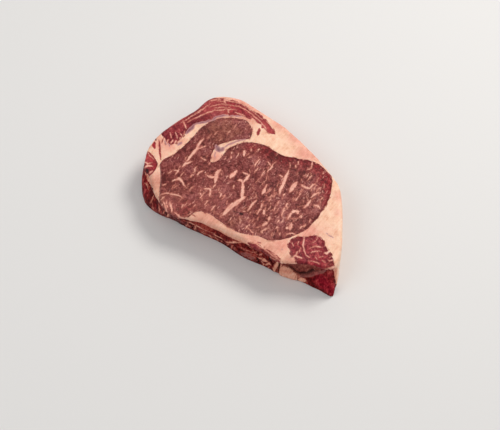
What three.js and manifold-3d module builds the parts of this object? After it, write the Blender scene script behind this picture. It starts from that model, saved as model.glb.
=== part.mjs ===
import * as THREE from 'three';
import { mergeVertices } from 'three/addons/utils/BufferGeometryUtils.js';
import Module from 'manifold-3d';

// A thick raw ribeye steak lying on its lower cut face. Millimetres, +Z up.
// The origin is the middle of the steak's box, on the surface that it lies on.
// It is one slab of fat with the muscles let into it. Each muscle runs right through.

const wasm = await Module();
wasm.setup();

// Driving dimensions
const THICKNESS = 30; // between the two cut faces, at the thickest place
const UPPER_ROUND = 3; // rounding of the upper edge
const LOWER_ROUND = 1.6; // rounding of the lower edge
const BELLY = 0.9; // how far the side swells half-way up
const LEAN_SINK = 0.5; // the lean lies this far below the fat on the upper face
const GAP = 0.3; // clearance between neighbouring solids
const RIB_TOP = 24; // height of the rib meat on the front side
const END_TOP = 23; // height of the side meat at the left end

// Fineness of the surface
const GRID = 30; // squares across each cut face
const SIDE_ROWS = 6; // rows of squares up the side
const ROUND_ROWS = 3; // rows round the upper edge

// The rim, counterclockwise from the left end: upper edge x, y, then foot x, y
const RIM = [
  [-73.5, 20, -76.3, 14],
  [-69.5, 10, -75.6, 6],
  [-65.5, -2, -72.3, -2],
  [-59.5, -13, -63.5, -9.5],
  [-51.5, -22, -51.5, -15],
  [-40, -25.5, -40.5, -21.5],
  [-28, -29, -28, -27.5],
  [-13, -36, -13, -35.4],
  [2, -44, 2, -46],
  [17, -54.5, 19, -54],
  [32, -63, 33, -60.8],
  [43, -64, 45, -65.6],
  [55, -66, 58, -72.4],
  [66.5, -67.5, 69.3, -78],
  [71.6, -63.5, 72.2, -70.5],
  [74.9, -52, 74.8, -54],
  [76.3, -34, 75, -33],
  [76.5, -14, 74, -13],
  [74, 2, 73, 2],
  [66, 15, 66, 15],
  [56, 27.5, 55, 27],
  [45.5, 39.5, 43.5, 38],
  [33, 52, 31, 50],
  [17, 64, 16, 61.5],
  [1, 75.2, 1, 72.2],
  [-13.5, 78.4, -13.5, 75.8],
  [-24, 76, -24, 72.5],
  [-33.6, 66.8, -33.6, 63.6],
  [-47.5, 57.4, -46.5, 54.8],
  [-61, 46, -61, 44],
  [-70.5, 33, -72.5, 29],
];

// Low and high places of the upper face: x, y, width of the place, drop
const DIPS = [
  [-56, -22, 17, 4.2],
  [-74, 16, 16, 2.6],
  [66, -66, 16, 1.8],
  [-10, 30, 24, 0.7],
  [50, -12, 22, 0.5],
];

// Swells and hollows of the side: x, y, z, width along it, height, how far out
const SIDE_FORMS = [
  [46, -65, 17, 13, 6, -6.5], // hollow under the fat beside the tail
  [37, -64, 6, 8, 5, 1.3], // flap of fat at the foot of the hollow
  [56, -67, 21, 10, 3, 1.6], // skin that hangs over the hollow
  [24, -58, 9, 6, 6, 0.8], // crumbled fat
  [-6, -41, 12, 12, 6, 0.8], // rib meat
  [-28, -28, 14, 10, 6, 0.7], // rib meat
  [-69, 4, 11, 9, 7, 1.1], // side meat
  [-70, 8, 21, 4, 5, -2.2], // cleft beside the side meat
];

// Outlines of the muscles as seen from above. A muscle that reaches the side runs out past it.
const EYE = [
  [-60, 22], [-50, 28], [-39, 39], [-29, 51], [-18, 58], [-4, 58.6], [4.6, 56.4], [9, 48], [7, 41],
  [-3, 39.5], [-15, 36], [-20, 31], [-22, 21], [-17, 22], [-12, 29], [-6, 34.5], [5, 37.5],
  [18, 35.5], [31, 27], [43, 24], [55, 21.5], [66, 13], [69.5, 7], [67.5, -9], [61, -22],
  [50, -35], [38, -42], [22, -44.5], [13, -41], [0, -39], [-12, -31.5], [-24, -22.5],
  [-32, -20.5], [-39, -25], [-49, -32], [-60, -22], [-61, -8], [-60.5, 8],
];
const CAP = [
  [-59, 41], [-61, 54], [-47, 66], [-33, 75], [-21, 76.5], [-14, 76], [0, 71.5], [13.5, 62],
  [24.5, 50], [27, 44.5], [22, 45.5], [13, 55], [4, 60], [-5, 60], [-14, 61], [-26, 56],
  [-36, 52], [-42, 45], [-49, 37], [-54, 36.5],
];
const TAIL = [
  [36.5, -46], [40, -42.5], [48, -41], [60, -41], [63.5, -49], [68, -57], [70.5, -67],
  [73, -84], [58, -86], [44, -74], [42, -62], [37.5, -55],
];
const END_UPPER = [[-82, 32], [-71, 31], [-67, 27.5], [-62.5, 19.5], [-65, 14.5], [-69, 10], [-84, 8]];
const END_SIDE = [
  [-67, 17], [-65, 4], [-60, -7], [-51, -15], [-50, -30], [-66, -26], [-84, -6], [-84, 20], [-74, 22],
];
const RIB = [
  [-46, -16], [-34, -18.5], [-18, -26], [0, -36], [20, -47], [35, -56], [40, -72], [20, -70],
  [0, -58], [-20, -44], [-40, -36], [-49, -28],
];

// A closed solid from a closed three.js geometry, with its shared vertices merged
function solidFrom(geometry) {
  const bare = geometry.clone();
  bare.deleteAttribute('normal');
  bare.deleteAttribute('uv');
  const merged = mergeVertices(bare, 1e-4);
  return new wasm.Manifold(new wasm.Mesh({
    numProp: 3,
    vertProperties: new Float32Array(merged.attributes.position.array),
    triVerts: new Uint32Array(merged.index.array),
  }));
}

// A solid turned back into a geometry
function geometryFrom(solid) {
  const mesh = solid.getMesh();
  const geometry = new THREE.BufferGeometry();
  geometry.setAttribute('position', new THREE.BufferAttribute(mesh.vertProperties, 3));
  geometry.setIndex(new THREE.BufferAttribute(mesh.triVerts, 1));
  geometry.computeVertexNormals();
  return geometry;
}

// A smooth closed curve through plan points
function closedCurve(points) {
  const knots = points.map(([x, y]) => new THREE.Vector3(x, y, 0));
  return new THREE.CatmullRomCurve3(knots, true, 'centripetal');
}

const upperRim = closedCurve(RIM.map(([x, y]) => [x, y]));
const lowerRim = closedCurve(RIM.map(([, , x, y]) => [x, y]));
upperRim.arcLengthDivisions = 1200;

function bell(squaredDistance) {
  return Math.exp(-0.5 * squaredDistance);
}

// Height of the upper face over a plan point
function upperHeight(x, y) {
  let height = THICKNESS;
  for (const [cx, cy, width, drop] of DIPS) {
    height -= drop * bell(((x - cx) ** 2 + (y - cy) ** 2) / width ** 2);
  }
  return height;
}

// A point of the side, u of the way round, at height z, and inset from the side's face
function sidePoint(u, z, inset) {
  const t = upperRim.getUtoTmapping(u % 1);
  const top = upperRim.getPoint(t);
  const foot = lowerRim.getPoint(t);
  const along = upperRim.getTangent(t);
  const rise = THREE.MathUtils.smoothstep(z / (THICKNESS - UPPER_ROUND), 0, 1);
  const point = foot.lerp(top, rise);
  let out = BELLY * Math.sin((Math.PI * z) / THICKNESS) - inset;
  for (const [cx, cy, cz, width, tall, reach] of SIDE_FORMS) {
    const across = ((point.x - cx) ** 2 + (point.y - cy) ** 2) / width ** 2;
    out += reach * bell(across + ((z - cz) / tall) ** 2);
  }
  point.x += along.y * out;
  point.y -= along.x * out;
  point.z = z;
  return point;
}

// Rows of the side from the lower face to the upper: height as a share, and inset
function sideRows(topHeight) {
  const rows = [];
  for (let k = 0; k <= 2; k++) {
    const turn = (k / 2) * (Math.PI / 2);
    rows.push([LOWER_ROUND * (1 - Math.cos(turn)), LOWER_ROUND * (1 - Math.sin(turn))]);
  }
  const straight = topHeight - UPPER_ROUND - LOWER_ROUND;
  for (let k = 1; k < SIDE_ROWS; k++) {
    rows.push([LOWER_ROUND + (straight * k) / SIDE_ROWS, 0]);
  }
  for (let k = 0; k <= ROUND_ROWS; k++) {
    const turn = (k / ROUND_ROWS) * (Math.PI / 2);
    rows.push([topHeight - UPPER_ROUND * (1 - Math.sin(turn)), UPPER_ROUND * (1 - Math.cos(turn))]);
  }
  return rows;
}

// Where a square of the face's grid lies: share of the way out, and share of the way round
function ringPlace(a, b) {
  const out = Math.max(Math.abs(a), Math.abs(b));
  if (out === 0) return [0, 0];
  const [p, q] = [a / out, b / out];
  let round = 0.75 + (p + 1) / 8;
  if (p === 1) round = (q + 1) / 8;
  else if (q === 1) round = 0.25 + (1 - p) / 8;
  else if (p === -1) round = 0.5 + (1 - q) / 8;
  return [out, round % 1];
}

// The whole slab, with its upper face lowered by sink
function slab(sink) {
  const positions = [];
  const index = [];
  const spokes = 4 * GRID;
  const columns = Array.from({ length: spokes }, (_, i) => {
    const edge = sidePoint(i / spokes, THICKNESS, UPPER_ROUND);
    return sideRows(upperHeight(edge.x, edge.y) - sink).map(([z, inset]) => sidePoint(i / spokes, z, inset));
  });
  const rowCount = columns[0].length;
  columns.forEach((column) => column.forEach((p) => positions.push(p.x, p.y, p.z)));
  const side = (i, k) => (i % spokes) * rowCount + k;
  for (let i = 0; i < spokes; i++) {
    for (let k = 0; k < rowCount - 1; k++) {
      index.push(side(i, k), side(i + 1, k), side(i + 1, k + 1));
      index.push(side(i, k), side(i + 1, k + 1), side(i, k + 1));
    }
  }
  addFace(positions, index, columns, rowCount - 1, (x, y) => upperHeight(x, y) - sink, true);
  addFace(positions, index, columns, 0, () => 0, false);
  const geometry = new THREE.BufferGeometry();
  geometry.setAttribute('position', new THREE.Float32BufferAttribute(positions, 3));
  geometry.setIndex(index);
  return solidFrom(geometry);
}

// One cut face: a square grid drawn out to the rim, on row k of the side
function addFace(positions, index, columns, k, height, faceUp) {
  const spokes = columns.length;
  const first = positions.length / 3;
  const node = (i, j) => first + i * (GRID + 1) + j;
  for (let i = 0; i <= GRID; i++) {
    for (let j = 0; j <= GRID; j++) {
      const [out, round] = ringPlace((2 * i) / GRID - 1, (2 * j) / GRID - 1);
      const place = round * spokes;
      const before = columns[Math.floor(place) % spokes][k];
      const after = columns[(Math.floor(place) + 1) % spokes][k];
      const edge = before.clone().lerp(after, place - Math.floor(place));
      if (out === 1) {
        const rim = columns[Math.round(place) % spokes][k];
        positions.push(rim.x, rim.y, rim.z);
      } else {
        positions.push(edge.x * out, edge.y * out, height(edge.x * out, edge.y * out));
      }
    }
  }
  for (let i = 0; i < GRID; i++) {
    for (let j = 0; j < GRID; j++) {
      const corners = [node(i, j), node(i + 1, j), node(i + 1, j + 1), node(i, j + 1)];
      if (!faceUp) corners.reverse();
      index.push(corners[0], corners[1], corners[2], corners[0], corners[2], corners[3]);
    }
  }
}

// An upright block of a plan outline, grown outwards by grow, from well below to height top
function block(outline, grow, top = THICKNESS + 10) {
  const curve = closedCurve(outline);
  const count = outline.length * 3;
  const turn = Math.sign(THREE.ShapeUtils.area(outline.map(([x, y]) => ({ x, y }))));
  const points = [];
  for (let i = 0; i < count; i++) {
    const p = curve.getPoint(i / count);
    const along = curve.getTangent(i / count);
    points.push(new THREE.Vector2(p.x + turn * along.y * grow, p.y - turn * along.x * grow));
  }
  const below = 10;
  const shape = new THREE.Shape(points);
  const geometry = new THREE.ExtrudeGeometry(shape, { depth: top + below, bevelEnabled: false });
  geometry.translate(0, 0, -below);
  return solidFrom(geometry);
}

// The largest body of a cut solid. Loose scraps are dropped.
function largest(solid) {
  return solid.decompose().reduce((best, body) => (body.volume() > best.volume() ? body : best));
}

function sideMeatBlock(grow) {
  return block(END_UPPER, grow).add(block(END_SIDE, grow, END_TOP + grow));
}

function ribMeatBlock(grow) {
  return block(RIB, grow, RIB_TOP + grow);
}

const FAT = new THREE.MeshStandardMaterial({ color: '#e3bda4', roughness: 0.5, metalness: 0 });
const LEAN = new THREE.MeshStandardMaterial({ color: '#7c4443', roughness: 0.42, metalness: 0 });
const RED_LEAN = new THREE.MeshStandardMaterial({ color: '#93313f', roughness: 0.4, metalness: 0 });

const half = GAP / 2;
const fatSlab = slab(0);
const leanSlab = slab(LEAN_SINK);
const sideMeatCut = sideMeatBlock(half);
const ribMeatCut = ribMeatBlock(half).subtract(sideMeatBlock(half));

function meshOf(name, solid, material) {
  const mesh = new THREE.Mesh(geometryFrom(largest(solid)), material);
  mesh.name = name;
  return mesh;
}

function fat() {
  const body = fatSlab
    .subtract(block(EYE, half))
    .subtract(block(CAP, half))
    .subtract(block(TAIL, half))
    .subtract(sideMeatCut)
    .subtract(ribMeatCut);
  return meshOf('fat', body, FAT);
}

function eyeMuscle() {
  const body = leanSlab.intersect(block(EYE, -half)).subtract(sideMeatBlock(half)).subtract(ribMeatBlock(half));
  return meshOf('eye_muscle', body, LEAN);
}

function capMuscle() {
  return meshOf('cap_muscle', leanSlab.intersect(block(CAP, -half)), RED_LEAN);
}

function tailMuscle() {
  return meshOf('tail_muscle', leanSlab.intersect(block(TAIL, -half)), RED_LEAN);
}

function sideMeat() {
  return meshOf('side_meat', leanSlab.intersect(sideMeatBlock(-half)), RED_LEAN);
}

function ribMeat() {
  const body = leanSlab.intersect(ribMeatBlock(-half)).subtract(sideMeatBlock(half));
  return meshOf('rib_meat', body, RED_LEAN);
}

const group = new THREE.Group();
group.add(fat(), eyeMuscle(), capMuscle(), tailMuscle(), sideMeat(), ribMeat());

export default group;
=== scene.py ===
"""A thick raw ribeye steak.

The steak is one slab, worked out as arrays of points: two cut faces and a side between them.
The slab is cut along the muscles' outlines, and each part gets its own tissue. Lengths in this
script are millimetres until a mesh is made.
"""
import math

import bpy
import numpy as np
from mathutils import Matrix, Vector


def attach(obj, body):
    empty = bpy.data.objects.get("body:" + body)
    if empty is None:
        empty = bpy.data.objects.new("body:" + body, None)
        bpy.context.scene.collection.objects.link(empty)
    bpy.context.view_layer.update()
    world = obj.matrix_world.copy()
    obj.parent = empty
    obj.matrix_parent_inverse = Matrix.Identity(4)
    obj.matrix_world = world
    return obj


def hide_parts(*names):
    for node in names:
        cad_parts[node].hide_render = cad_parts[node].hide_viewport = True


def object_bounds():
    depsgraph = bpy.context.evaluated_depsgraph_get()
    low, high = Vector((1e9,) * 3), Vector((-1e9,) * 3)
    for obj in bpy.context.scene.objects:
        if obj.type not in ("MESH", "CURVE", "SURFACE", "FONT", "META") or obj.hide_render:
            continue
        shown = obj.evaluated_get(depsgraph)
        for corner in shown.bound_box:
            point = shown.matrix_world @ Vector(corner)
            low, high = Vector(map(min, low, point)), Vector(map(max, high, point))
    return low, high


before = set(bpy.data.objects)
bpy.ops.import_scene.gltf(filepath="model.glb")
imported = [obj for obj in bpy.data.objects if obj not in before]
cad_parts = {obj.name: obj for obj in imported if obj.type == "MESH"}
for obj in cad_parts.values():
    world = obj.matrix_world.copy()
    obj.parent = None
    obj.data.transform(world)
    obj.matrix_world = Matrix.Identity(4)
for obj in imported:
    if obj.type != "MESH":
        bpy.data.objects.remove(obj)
cad_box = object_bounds()

MM = 0.001

# The slab
THICKNESS = 30.0
UPPER_ROUND = 3.0
LOWER_ROUND = 1.6
BELLY = 0.9
LEAN_SINK = 0.5
SINK_WIDTH = 1.1  # over which the surface steps down from fat to lean
RIB_TOP = 24.0
END_TOP = 23.0
BLOCK_HEIGHTS = (-5.0, 40.0)  # of the blocks that cut the slab, below and above it

# Fineness
FACE_SQUARES = 300  # across the upper face, and an even number
SIDE_STEPS = 54  # rows up the side between its two rounded edges
ROUND_STEPS = 9
OUTLINE_STEP = 0.45  # spacing of points on a muscle's outline
RIM_STEPS = 60  # points on each span of the rim's curves
MUSCLE_STEPS = 40  # on each span of a muscle's outline
PATCH_STEPS = 6  # on each span of a small patch
RIM_MARKS = 460  # places along the rim where the nearest to a point is looked for
AT_ONCE = 4000  # points whose distances are worked out together
FAR = 7.0  # distances to an outline are followed this far out
LOWER_SHARE = 0.996  # size of the lower face inside the side's foot

# Numbers that mix the bits of a lattice cell
CELL_MIXERS = (73856093, 19349663, 83492791)
SEED_MIXER = 2654435761
BIT_MIXER = 1274126177

# The view
LENS, SENSOR = 108, 36
TILT = math.radians(65)
REACH = 1155  # from the camera to the point that it looks at
AIM = (7.5, -10)  # that point's x and y, at the steak's foot

# The rim, counterclockwise from the left end: upper edge x, y, then foot x, y
RIM = np.array([
    (-73.5, 20, -76.3, 14), (-69.5, 10, -75.6, 6), (-65.5, -2, -72.3, -2), (-59.5, -13, -63.5, -9.5),
    (-51.5, -22, -51.5, -15), (-40, -25.5, -40.5, -21.5), (-28, -29, -28, -27.5), (-13, -36, -13, -35.4),
    (2, -44, 2, -46), (17, -54.5, 19, -54), (32, -63, 33, -60.8), (43, -64, 45, -65.6),
    (55, -66, 58, -72.4), (66.5, -67.5, 69.3, -78), (71.6, -63.5, 72.2, -70.5), (74.9, -52, 74.8, -54),
    (76.3, -34, 75, -33), (76.5, -14, 74, -13), (74, 2, 73, 2), (66, 15, 66, 15),
    (56, 27.5, 55, 27), (45.5, 39.5, 43.5, 38), (33, 52, 31, 50), (17, 64, 16, 61.5),
    (1, 75.2, 1, 72.2), (-13.5, 78.4, -13.5, 75.8), (-24, 76, -24, 72.5), (-33.6, 66.8, -33.6, 63.6),
    (-47.5, 57.4, -46.5, 54.8), (-61, 46, -61, 44), (-70.5, 33, -72.5, 29),
], float)

# Low places of the upper face: x, y, width, drop
DIPS = [
    (-56, -22, 17, 4.2), (-74, 16, 16, 2.6), (66, -66, 16, 1.8), (-10, 30, 24, 0.7), (50, -12, 22, 0.5),
]

# Swells and hollows of the side: x, y, z, width, height, how far out
SIDE_FORMS = [
    (46, -65, 17, 13, 6, -6.5), (37, -64, 6, 8, 5, 1.3), (56, -67, 21, 10, 3, 1.6),
    (24, -58, 9, 6, 6, 0.8), (-6, -41, 12, 12, 6, 0.8), (-28, -28, 14, 10, 6, 0.7),
    (-69, 4, 11, 9, 7, 1.1), (-70, 8, 21, 4, 5, -2.2),
]

# Outlines of the muscles from above
EYE = [
    (-60, 22), (-50, 28), (-39, 39), (-29, 51), (-18, 58), (-4, 58.6), (4.6, 56.4), (9, 48), (7, 41),
    (-3, 39.5), (-15, 36), (-20, 31), (-22, 21), (-17, 22), (-12, 29), (-6, 34.5), (5, 37.5),
    (18, 35.5), (31, 27), (43, 24), (55, 21.5), (66, 13), (69.5, 7), (67.5, -9), (61, -22),
    (50, -35), (38, -42), (22, -44.5), (13, -41), (0, -39), (-12, -31.5), (-24, -22.5),
    (-32, -20.5), (-39, -25), (-49, -32), (-60, -22), (-61, -8), (-60.5, 8),
]
CAP = [
    (-59, 41), (-61, 54), (-47, 66), (-33, 75), (-21, 76.5), (-14, 76), (0, 71.5), (13.5, 62),
    (24.5, 50), (27, 44.5), (22, 45.5), (13, 55), (4, 60), (-5, 60), (-14, 61), (-26, 56),
    (-36, 52), (-42, 45), (-49, 37), (-54, 36.5),
]
TAIL = [
    (36.5, -46), (40, -42.5), (48, -41), (60, -41), (63.5, -49), (68, -57), (70.5, -67),
    (73, -84), (58, -86), (44, -74), (42, -62), (37.5, -55),
]
END_UPPER = [(-82, 32), (-71, 31), (-67, 27.5), (-62.5, 19.5), (-65, 14.5), (-69, 10), (-84, 8)]
END_SIDE = [
    (-67, 17), (-65, 4), (-60, -7), (-51, -15), (-50, -30), (-66, -26), (-84, -6), (-84, 20), (-74, 22),
]
RIB = [
    (-46, -16), (-34, -18.5), (-18, -26), (0, -36), (20, -47), (35, -56), (40, -72), (20, -70),
    (0, -58), (-20, -44), (-40, -36), (-49, -28),
]

# Fat streaks in the lean, seen from above: half of the width, then the line's points
MARBLING = [
    # lobe and left of the eye
    (0.9, (-28.5, 41.4), (-31.5, 37), (-33, 32), (-36, 28.4), (-39.7, 23.3), (-41.2, 21.6)),
    (0.5, (-33, 32), (-29, 33.6), (-26, 34.5)), (0.8, (-44, 17.3), (-41, 20), (-36.6, 21.6)),
    (0.5, (-51, 14.8), (-47, 14), (-49.3, 10.5)), (0.3, (-47, 14), (-45.7, 18.2)),
    (0.7, (-47.6, 8), (-45.5, 7), (-43, 3), (-41.6, 0.4)), (0.6, (-51.5, 5.5), (-48, 6.7), (-45.5, 7)),
    (1.1, (-47.4, 7.9), (-45.6, 7.1)), (0.6, (-32.7, 9.7), (-31, 12), (-28, 13.5)),
    (0.9, (-25, 9.7), (-22, 8), (-19, 8.4)), (1.3, (-14.5, 14.8), (-17.5, 11.4), (-18.2, 7), (-19, 3)),
    (0.6, (-27.2, -1.7), (-22, -2)), (0.7, (-22, -1.5), (-23, -8)), (0.35, (-27, -4.6), (-30, -9.6)),
    (0.4, (-30.5, -4.5), (-29, -6.5)), (0.35, (-18.5, 1.5), (-20.5, -1)),
    (0.4, (-10, 45), (-7.5, 48.5)), (0.3, (-20, 45), (-17, 48)), (0.3, (-5, 50), (-3, 53)),
    (0.3, (-30, 25), (-26, 22.5)), (0.35, (-35, 14), (-33.5, 17)), (0.35, (-24, 19), (-22, 21.5)),
    (0.3, (-55, 12), (-52, 14)), (0.3, (-50, -0.5), (-47.5, 1.5)), (0.35, (-38, 8), (-36, 11)),
    (0.3, (-38, -2), (-35.5, 0.5)),
    # middle of the eye
    (1.3, (-2.4, 13.6), (-5.4, 10.5), (-7.6, 7)), (0.9, (-1.6, 5), (0.7, 5.5), (2.2, 3)),
    (0.9, (7.5, 10.5), (4.5, 6.3), (2.2, 3)), (1.1, (2, 4.6), (2.2, 0), (1.9, -6), (0.6, -11)),
    (1.7, (3.5, -8.5), (0, -11.8), (-5, -15), (-9, -19), (-12.9, -24.4)),
    (1.3, (-5, -15.6), (-9.8, -18)), (0.6, (4.5, -8), (0.7, -12)), (0.35, (-15.6, -1), (-16, -3.8)),
    (0.6, (-13.6, -5.5), (-15, -8.8)), (0.4, (-11.3, -7), (-13.6, -10.5)),
    (0.45, (-18.8, -15.5), (-20.4, -18), (-22, -20)), (0.8, (-24.6, -11.3), (-25, -12.6)),
    (0.4, (-25, -12.6), (-26.3, -14.5)), (0.9, (3.1, 31), (2.7, 26)),
    (0.6, (15, 23.5), (12, 20), (11.3, 17.3)), (0.6, (25, 19), (23.5, 15.6), (20.4, 12.2)),
    (0.4, (21.2, 20.7), (23.5, 17.3)), (0.45, (18.9, 14), (15.8, 8)), (0.5, (-6.5, 30), (-6.2, 28)),
    (0.5, (-7.2, 26), (-7, 24)), (0.45, (6, 24.6), (8, 25.2)), (0.5, (13.2, 31.4), (15, 32)),
    (0.5, (2, 12), (6.3, 10.2)), (0.35, (-5.5, -1.5), (-4.5, 1.5)), (0.35, (8.5, 30), (8.3, 33)),
    # right of the eye
    (1.1, (37, 14), (34.8, 8.8), (32.4, 2), (30, -3.8), (29.3, -6.3)), (0.55, (29.5, 9.7), (32.5, 8)),
    (0.4, (20.3, 2), (18.8, -1.5)), (1.05, (19, -1), (18, -4), (16.3, -6.6)),
    (1.5, (43, 4), (39.6, -0.4), (37.4, -5)), (0.9, (46, 1.4), (49.8, -0.9), (52.8, -1.3)),
    (0.7, (52.4, -1.4), (55, 1.6), (57.4, 2)), (0.3, (51.5, 10.5), (49.9, 8)),
    (0.4, (54.5, 9.5), (51.4, 5.5)), (0.4, (54.7, 20.7), (53.8, 15.6), (51, 14.4)),
    (0.4, (61, -0.4), (58.8, -2)), (0.8, (59.8, -4.4), (56.5, -6.3), (53.8, -9)),
    (0.4, (42.5, 18.2), (42.4, 15.6)), (0.4, (56.6, 3), (57.8, 0.6)),
    (0.7, (12.5, -11), (9, -15), (5.6, -20.6)), (0.5, (16.5, -13.8), (16, -18)),
    (0.45, (15.4, -18.4), (12.6, -23)), (0.8, (18.4, -19.6), (17.5, -23.5)),
    (0.9, (33.6, -17.6), (32.4, -21)), (0.5, (32.2, -21.3), (30.7, -25.4)),
    (0.6, (36, -13.8), (34.5, -16.3)), (0.8, (53.6, -11.4), (50.6, -15.2), (48, -18.2)),
    (0.6, (55.2, -15.5), (58.5, -16.3), (60.2, -18.6)), (0.6, (35.5, -27), (37.4, -23.8), (39, -21.3)),
    (1.0, (38.6, -21.2), (41.6, -20.6), (44.4, -21)), (0.6, (43.8, -21), (43.2, -23)),
    (0.9, (22.3, -25.2), (21, -28)), (0.9, (20.6, -29.6), (16.2, -33)), (1.1, (38.3, -30), (37.4, -36)),
    (0.8, (34.2, -34.2), (36.4, -34.6)), (0.5, (44.8, -34.4), (49.3, -31.5)),
    (0.5, (16.2, -39), (16.4, -36.6), (19, -35.6), (21.7, -34.4)), (0.8, (6.9, -31.6), (6.6, -32.6)),
    (0.5, (5.8, -32.8), (4.4, -34.6)), (0.35, (5.5, -34.4), (10, -38.4)),
    (0.4, (33.5, -40), (38, -38.5), (41, -39.4)), (0.5, (23, -13.6), (23.2, -14.6)),
    (0.6, (29.4, -27.6), (28, -29.4)), (1.0, (33.2, -6.4), (34, -6.8)), (0.5, (22, -2.2), (22.3, -3)),
    (0.4, (40, -12), (41.8, -9.4)), (0.4, (24, -7), (22.4, -9.4)), (0.5, (46.5, -24), (45.4, -26)),
    (0.4, (53, -27), (51.6, -30)), (0.45, (27.6, -33), (27.2, -35)), (0.35, (60.6, -11), (62.4, -9)),
    (0.45, (43.4, -9.6), (42, -12)), (0.4, (29.5, -12), (28, -15)), (0.4, (46, -5), (44.6, -7.4)),
    (0.45, (30, -38.6), (29.8, -40)), (0.5, (26.5, -17), (25.4, -19.6)),
    # near the lower left corner
    (0.5, (-60, -5.4), (-57, -4), (-52, -5), (-46, -6.5), (-43, -9)),
    (0.6, (-58, -10), (-56.6, -14), (-55.4, -18), (-55, -22)), (0.45, (-55.5, -10), (-54.6, -16)),
    (0.7, (-53, -11), (-52, -15), (-51, -20)), (0.7, (-59, -12.6), (-58.6, -13.6)),
    (0.8, (-49, -20), (-45, -24), (-40, -25.5), (-35, -26.5), (-30, -28)),
    (0.35, (-38, -19), (-36.6, -20.6)), (0.35, (-58.5, 2.4), (-56, 3.4)),
    (0.4, (-57, -7), (-60.4, -10)), (0.35, (-33.4, -14.4), (-35, -16)),
    # cap
    (0.35, (-41, 55), (-36, 58), (-30.6, 61), (-25, 64), (-19.6, 65.6), (-10.8, 66.6), (-3, 66)),
    (0.25, (-46, 54.6), (-40, 58.6), (-34, 63), (-28, 68), (-23, 71.4)),
    (0.15, (-36, 61.6), (-32, 64), (-29, 66.6)),
    (0.3, (-18, 73.2), (-9.2, 73.9), (-2.6, 72.4), (4, 69.4), (11, 63.6), (17, 57.6)),
    (0.3, (-13.6, 70.6), (-7, 70), (-0.4, 68.7), (5, 65.6), (12, 59.4), (17.6, 53)),
    (0.2, (-24, 68.6), (-17, 70.4), (-12, 71.4)), (0.2, (-20, 67.4), (-15, 68.4), (-8, 68)),
    (0.4, (-24, 73.6), (-19, 74.9), (-15, 75)), (0.45, (-12.6, 75.6), (-12.3, 73), (-11.6, 71.4)),
    (0.25, (-54, 46), (-52.6, 41)), (0.2, (-49.8, 47), (-48, 41)), (0.25, (-46.4, 46), (-44, 43)),
    (0.2, (-42.6, 48), (-43.4, 43.6)), (0.5, (-53, 37), (-51.6, 40)), (0.5, (-50, 36.6), (-49, 39.6)),
    (0.4, (-56, 37.4), (-55, 40.4)), (0.4, (-46.6, 39), (-46.4, 42)),
    (0.35, (-44, 56), (-42.6, 52.6), (-41.6, 49.6)),
    (0.7, (-61.4, 47.6), (-54, 53), (-46, 58.6), (-38, 64)), (0.25, (-9.6, 66), (-9, 63.4)),
    (0.3, (-4.4, 64), (1, 62), (4, 60.6)), (0.25, (10, 61), (15.6, 55.6)),
    (0.3, (16, 54.6), (19.6, 50.6), (20.4, 48)),
    # left end
    (0.3, (-71.6, 30.6), (-69, 27), (-66, 24.4)), (0.45, (-73.6, 22.6), (-70.6, 20.6), (-67, 21.6)),
    (0.6, (-73, 17.4), (-70, 19), (-66.4, 18.4)), (0.5, (-69, 12.6), (-66.4, 14.6)),
    # tail
    (0.45, (48.2, -39.6), (47.6, -44), (46.9, -48.6), (47.6, -52.7), (48.8, -56.2)),
    (0.3, (48.8, -56.2), (51.6, -57.8)),
    (0.5, (38.4, -58.6), (41, -56.6), (43.4, -57.9), (46.4, -58.8)), (0.35, (41, -56), (43, -53.6)),
    (0.2, (45, -50), (44, -54)), (0.2, (39.6, -49), (38.6, -46)),
    (0.3, (51.6, -50.8), (55.5, -48.9), (61, -49.6)), (0.25, (52.4, -54), (56.7, -52.4), (60.8, -53.2)),
    (0.2, (53, -46.4), (56.6, -45)), (0.2, (58.6, -57.4), (62, -56.6)),
    (0.2, (50.2, -60.5), (54.4, -61.1), (58.6, -62.8)),
    (0.6, (67.6, -52.6), (64.6, -54.4), (62.6, -54)), (0.4, (65.6, -47), (63, -48.6)),
    (0.4, (69.4, -56.6), (66.4, -57.4)), (0.35, (69, -60), (66.4, -60.4), (65, -59.4)),
    (0.8, (71, -64), (68, -66), (64, -67), (60, -67.6)), (0.2, (55.6, -57), (57.4, -59.4)),
    (0.2, (61, -60), (63.4, -61.4)), (0.2, (43.6, -45), (42.6, -48)), (0.6, (41, -60.4), (38.4, -62)),
    # ragged patch
    (0.3, (3.8, -45), (12, -47.4), (20, -53), (28, -60)), (0.2, (8, -45.6), (15, -47.6), (21, -52)),
    (0.25, (12, -52.4), (20, -56), (27, -60.6)), (0.2, (24, -54.6), (29, -60)),
]

END_TAPER = 0.8  # how much a streak narrows at its ends
SHORT_STREAKS = 150
EYE_BOX = (-58, -42), (66, 56)  # corners of the stretch where the short ones may lie

# Lean let into the fat, seen from above, in the same way
LEAN_ISLANDS = [
    (1.2, (14.7, 49.6), (14.1, 46.5), (13.4, 43.6)), (1.3, (-65.6, 38.6), (-66, 35.6), (-65.4, 32.6)),
    (0.5, (-65.1, 42), (-64.6, 39.6)), (0.6, (-62.4, 40), (-61.5, 34), (-61.1, 28), (-60.5, 23)),
    (0.35, (-58.6, 41), (-60, 37)), (0.3, (-52, 37.6), (-54.5, 34.5)), (0.3, (-57.6, 38.4), (-57, 35.6)),
    (0.4, (-36, -22.6), (-33, -24.6)),
]
RAGGED_PATCH = [
    (4, -47.6), (9, -46.6), (15, -47.4), (18.4, -51), (23, -54.6), (27.6, -57.8), (32, -64), (24, -64),
    (12, -57),
]

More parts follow.
